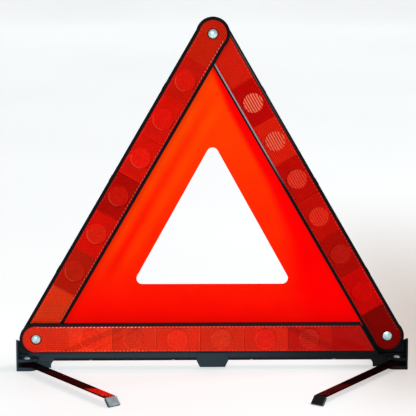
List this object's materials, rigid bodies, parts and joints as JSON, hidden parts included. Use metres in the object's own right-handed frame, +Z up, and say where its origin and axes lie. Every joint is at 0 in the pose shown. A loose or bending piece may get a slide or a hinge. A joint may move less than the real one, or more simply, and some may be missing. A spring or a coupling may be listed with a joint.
{
  "type": "warning triangle",
  "caption": "Folding roadside warning triangle: two reflective arms riveted to a reflective base, a red cloth with a triangular window, and swing-out legs.",
  "frame": {"origin": "centre of the footprint, on the ground", "axes": "+X to the right seen from the front, -Y to the front (the reflective side), +Z up"},
  "size_m": [0.45, 0.3166, 0.406],
  "materials": {
    "base_plastic": "satin black moulded plastic",
    "arm_plastic": "semi-gloss black moulded plastic",
    "red_lens": "clear red acrylic prism lens",
    "reflector_foil": "bright foil",
    "rivet_steel": "bright plated steel",
    "screw_steel": "plain zinc plated steel",
    "washer_nylon": "natural nylon",
    "warning_fabric": "fluorescent red coated cloth",
    "leg_paint": "gloss black paint on a steel strip",
    "foot_rubber": "black rubber"
  },
  "bodies": {
    "base": {"base_rail": "base_plastic", "left_end_block": "base_plastic", "right_end_block": "base_plastic", "base_front_cover": "base_plastic", "base_lens": "red_lens", "base_foil": "reflector_foil", "centre_tab": "base_plastic", "cover_screws": "screw_steel", "tab_screws": "screw_steel", "left_pivot_rivet": "rivet_steel", "left_pivot_washer": "washer_nylon", "right_pivot_rivet": "rivet_steel", "right_pivot_washer": "washer_nylon", "warning_cloth": "warning_fabric", "cloth_clamp_strip": "base_plastic", "clamp_rivets": "rivet_steel", "front_left_leg_pin": "rivet_steel", "front_right_leg_pin": "rivet_steel", "rear_left_leg_pin": "rivet_steel", "rear_right_leg_pin": "rivet_steel"},
    "left_arm": {"left_arm_frame": "arm_plastic", "left_arm_lens": "red_lens", "left_arm_foil": "reflector_foil", "apex_rivet": "rivet_steel"},
    "right_arm": {"right_arm_frame": "arm_plastic", "right_arm_lens": "red_lens", "right_arm_foil": "reflector_foil", "apex_snap_stud": "rivet_steel", "cloth_apex_eyelet": "rivet_steel"},
    "front_left_leg": {"front_left_leg": "leg_paint", "front_left_foot_cap": "foot_rubber"},
    "front_right_leg": {"front_right_leg": "leg_paint", "front_right_foot_cap": "foot_rubber"},
    "rear_left_leg": {"rear_left_leg": "leg_paint", "rear_left_foot_cap": "foot_rubber"},
    "rear_right_leg": {"rear_right_leg": "leg_paint", "rear_right_foot_cap": "foot_rubber"}
  },
  "joints": [
    {"name": "left_arm_fold", "type": "hinge", "parent": "base", "child": "left_arm", "pos_m": [-0.2025, 0, 0.0361], "axis": [0, 1, 0], "range_deg": [0, 60]},
    {"name": "right_arm_fold", "type": "hinge", "parent": "base", "child": "right_arm", "pos_m": [0.2025, 0, 0.0361], "axis": [0, -1, 0], "range_deg": [0, 60], "deforming": ["warning_cloth"]},
    {"name": "front_left_leg_swing", "type": "hinge", "parent": "base", "child": "front_left_leg", "pos_m": [-0.213, -0.008, 0], "axis": [0, 0, 1], "range_deg": [0, 54.5]},
    {"name": "front_right_leg_swing", "type": "hinge", "parent": "base", "child": "front_right_leg", "pos_m": [0.213, -0.008, 0], "axis": [0, 0, -1], "range_deg": [0, 54.5]},
    {"name": "rear_left_leg_swing", "type": "hinge", "parent": "base", "child": "rear_left_leg", "pos_m": [-0.213, 0.008, 0], "axis": [0, 0, -1], "range_deg": [0, 54.5]},
    {"name": "rear_right_leg_swing", "type": "hinge", "parent": "base", "child": "rear_right_leg", "pos_m": [0.213, 0.008, 0], "axis": [0, 0, 1], "range_deg": [0, 54.5]}
  ]
}
